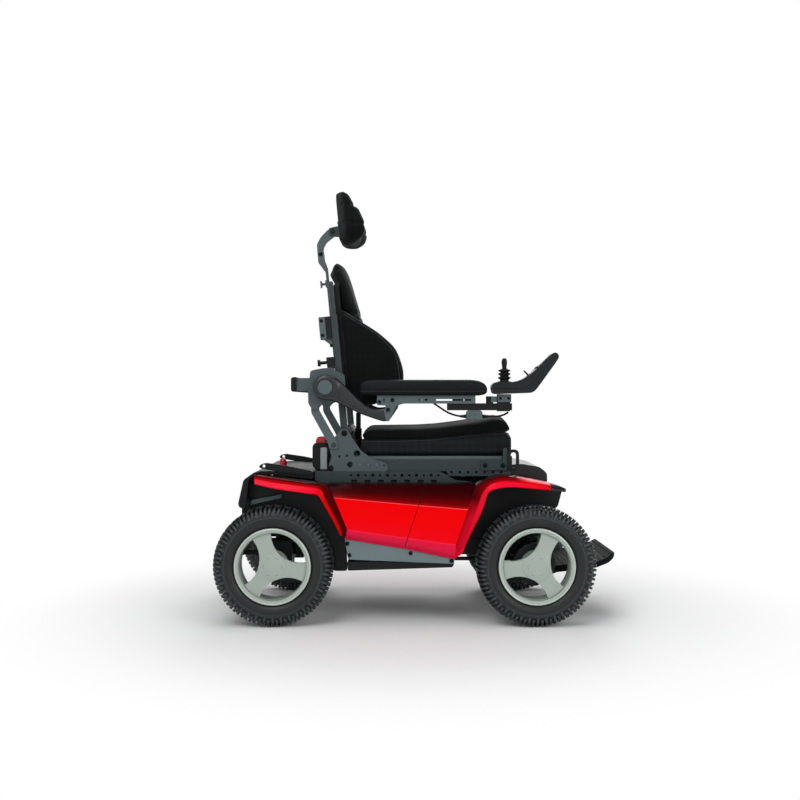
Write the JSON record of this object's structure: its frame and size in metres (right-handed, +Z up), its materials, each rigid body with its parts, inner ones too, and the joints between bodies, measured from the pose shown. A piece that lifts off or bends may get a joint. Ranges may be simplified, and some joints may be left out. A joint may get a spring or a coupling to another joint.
{
  "type": "all terrain power wheelchair",
  "caption": "Powered wheelchair with lugged all-terrain tyres, moulded body panels, reclining seat, flip-up armrests, joystick and flip-up footplates.",
  "frame": {"origin": "on the floor under the centre of the whole chair", "axes": "+X forward, +Y to the rider's left, +Z up"},
  "size_m": [1.2187, 0.682, 1.3386],
  "materials": {
    "frame_paint": "black powder coat",
    "grey_paint": "grey powder coat",
    "body_paint": "glossy red moulded panel",
    "black_plastic": "black grained moulding",
    "pod_plastic": "black satin moulding",
    "tyre": "black tread rubber",
    "rim": "silver painted alloy",
    "steel": "plated steel",
    "seat_cover": "black woven cover",
    "base_cover": "dark grey woven cover",
    "pad_vinyl": "black vinyl skin",
    "soft_rubber": "matt black rubber",
    "red_lens": "clear red lens",
    "drive": "dark cast housings"
  },
  "bodies": {
    "chassis": {"chassis_frame": "frame_paint", "belly_tray": "black_plastic", "batteries": "black_plastic", "power_controller": "black_plastic", "rear_gear_motors": "drive", "rear_hood": "black_plastic", "nose_cover": "black_plastic", "side_panels": "body_paint", "sill_plates": "grey_paint", "fenders": "body_paint", "fender_tips": "black_plastic", "arch_liners": "black_plastic", "base_rails": "grey_paint", "rear_tie_downs": "frame_paint", "tail_light_posts": "black_plastic", "tail_light_lenses": "red_lens", "bolts": "steel", "seat_frame": "frame_paint", "seat_side_plates": "grey_paint", "seat_cushion_base": "base_cover", "seat_cushion": "seat_cover", "tie_down_loops": "frame_paint", "recline_drive": "drive", "leg_hanger": "frame_paint"},
    "back": {"back_canes": "grey_paint", "back_shell": "black_plastic", "back_cushion": "seat_cover", "back_wings": "seat_cover", "back_crossbars": "frame_paint"},
    "headrest_post": {"headrest_bar": "frame_paint"},
    "headrest_arm": {"headrest_link": "frame_paint"},
    "headrest": {"headrest_pad": "seat_cover"},
    "links": {"recline_links": "grey_paint"},
    "carriers": {"arm_carriers": "frame_paint"},
    "right_armrest": {"right_arm": "black_plastic", "right_arm_bracket": "grey_paint", "right_arm_pad": "pad_vinyl", "joystick_rail": "frame_paint", "joystick_lead": "soft_rubber", "joystick_pod": "pod_plastic"},
    "gimbal": {"joystick_gimbal": "steel"},
    "stick": {"joystick_stick": "pod_plastic", "joystick_boot": "soft_rubber"},
    "toggle": {"pod_toggle": "pod_plastic"},
    "left_armrest": {"left_arm": "black_plastic", "left_arm_bracket": "grey_paint", "left_arm_pad": "pad_vinyl"},
    "rear_right_wheel": {"rear_right_tyre": "tyre", "rear_right_rim": "rim"},
    "rear_left_wheel": {"rear_left_tyre": "tyre", "rear_left_rim": "rim"},
    "front_right_wheel": {"front_right_tyre": "tyre", "front_right_rim": "rim"},
    "front_left_wheel": {"front_left_tyre": "tyre", "front_left_rim": "rim"},
    "right_steer": {"right_knuckle": "drive"},
    "left_steer": {"left_knuckle": "drive"},
    "track_link": {"tie_rod": "steel"},
    "right_foot": {"right_footplate": "black_plastic"},
    "left_foot": {"left_footplate": "black_plastic"}
  },
  "joints": [
    {"name": "recline", "type": "hinge", "parent": "chassis", "child": "back", "pos_m": [-0.226, 0, 0.567], "axis": [0, -1, 0], "range_deg": [0, 40]},
    {"name": "link_swing", "type": "hinge", "parent": "chassis", "child": "links", "pos_m": [-0.258, 0, 0.531], "axis": [0, -1, 0], "range_deg": [0, 40]},
    {"name": "carrier_level", "type": "hinge", "parent": "back", "child": "carriers", "pos_m": [-0.24161, 0, 0.73528], "axis": [0, -1, 0], "range_deg": [-40, 0]},
    {"name": "right_armrest_flip", "type": "hinge", "parent": "carriers", "child": "right_armrest", "pos_m": [-0.28061, -0.275, 0.70428], "axis": [0, -1, 0], "range_deg": [0, 100]},
    {"name": "left_armrest_flip", "type": "hinge", "parent": "carriers", "child": "left_armrest", "pos_m": [-0.28061, 0.275, 0.70428], "axis": [0, -1, 0], "range_deg": [0, 100]},
    {"name": "headrest_height", "type": "slide", "parent": "back", "child": "headrest_post", "axis": [-0.0924, 0, 0.9957], "range_m": [0, 0.08]},
    {"name": "headrest_reach", "type": "hinge", "parent": "headrest_post", "child": "headrest_arm", "pos_m": [-0.31415, 0, 1.1383], "axis": [0, -1, 0], "range_deg": [-20, 20]},
    {"name": "headrest_tilt", "type": "hinge", "parent": "headrest_arm", "child": "headrest", "pos_m": [-0.27581, 0, 1.21216], "axis": [0, -1, 0], "range_deg": [-15, 20]},
    {"name": "stick_pitch", "type": "hinge", "parent": "right_armrest", "child": "gimbal", "pos_m": [0.25339, -0.275, 0.71228], "axis": [0, 1, 0], "range_deg": [-14, 14], "stiffness_Nm_per_rad": 0.6},
    {"name": "stick_roll", "type": "hinge", "parent": "gimbal", "child": "stick", "pos_m": [0.25339, -0.275, 0.71228], "axis": [1, 0, 0], "range_deg": [-14, 14], "stiffness_Nm_per_rad": 0.6},
    {"name": "toggle_tilt", "type": "hinge", "parent": "right_armrest", "child": "toggle", "pos_m": [0.32678, -0.275, 0.73884], "axis": [0, 1, 0], "range_deg": [-10, 10], "stiffness_Nm_per_rad": 0.1},
    {"name": "rear_right_spin", "type": "hinge", "parent": "chassis", "child": "rear_right_wheel", "pos_m": [-0.432, -0.295, 0.178], "axis": [0, 1, 0], "continuous": true},
    {"name": "rear_left_spin", "type": "hinge", "parent": "chassis", "child": "rear_left_wheel", "pos_m": [-0.432, 0.295, 0.178], "axis": [0, 1, 0], "continuous": true},
    {"name": "left_steer_turn", "type": "hinge", "parent": "chassis", "child": "left_steer", "pos_m": [0.344, 0.221, 0.178], "axis": [0, 0, 1], "range_deg": [-20, 20]},
    {"name": "right_steer_turn", "type": "hinge", "parent": "chassis", "child": "right_steer", "pos_m": [0.344, -0.221, 0.178], "axis": [0, 0, 1], "range_deg": [-20, 20]},
    {"name": "track_link_turn", "type": "hinge", "parent": "left_steer", "child": "track_link", "pos_m": [0.259, 0.221, 0.178], "axis": [0, 0, 1], "range_deg": [-20, 20]},
    {"name": "front_right_spin", "type": "hinge", "parent": "right_steer", "child": "front_right_wheel", "pos_m": [0.344, -0.295, 0.178], "axis": [0, 1, 0], "continuous": true},
    {"name": "front_left_spin", "type": "hinge", "parent": "left_steer", "child": "front_left_wheel", "pos_m": [0.344, 0.295, 0.178], "axis": [0, 1, 0], "continuous": true},
    {"name": "right_footplate_flip", "type": "hinge", "parent": "chassis", "child": "right_foot", "pos_m": [0.415, -0.1, 0.146], "axis": [0, -1, 0], "range_deg": [0, 75]},
    {"name": "left_footplate_flip", "type": "hinge", "parent": "chassis", "child": "left_foot", "pos_m": [0.415, 0.1, 0.146], "axis": [0, -1, 0], "range_deg": [0, 75]}
  ],
  "couplings": [
    {"joint": "link_swing", "follows": "recline", "ratio": 1},
    {"joint": "carrier_level", "follows": "recline", "ratio": -1},
    {"joint": "right_steer_turn", "follows": "left_steer_turn", "ratio": 1},
    {"joint": "track_link_turn", "follows": "left_steer_turn", "ratio": -1}
  ]
}
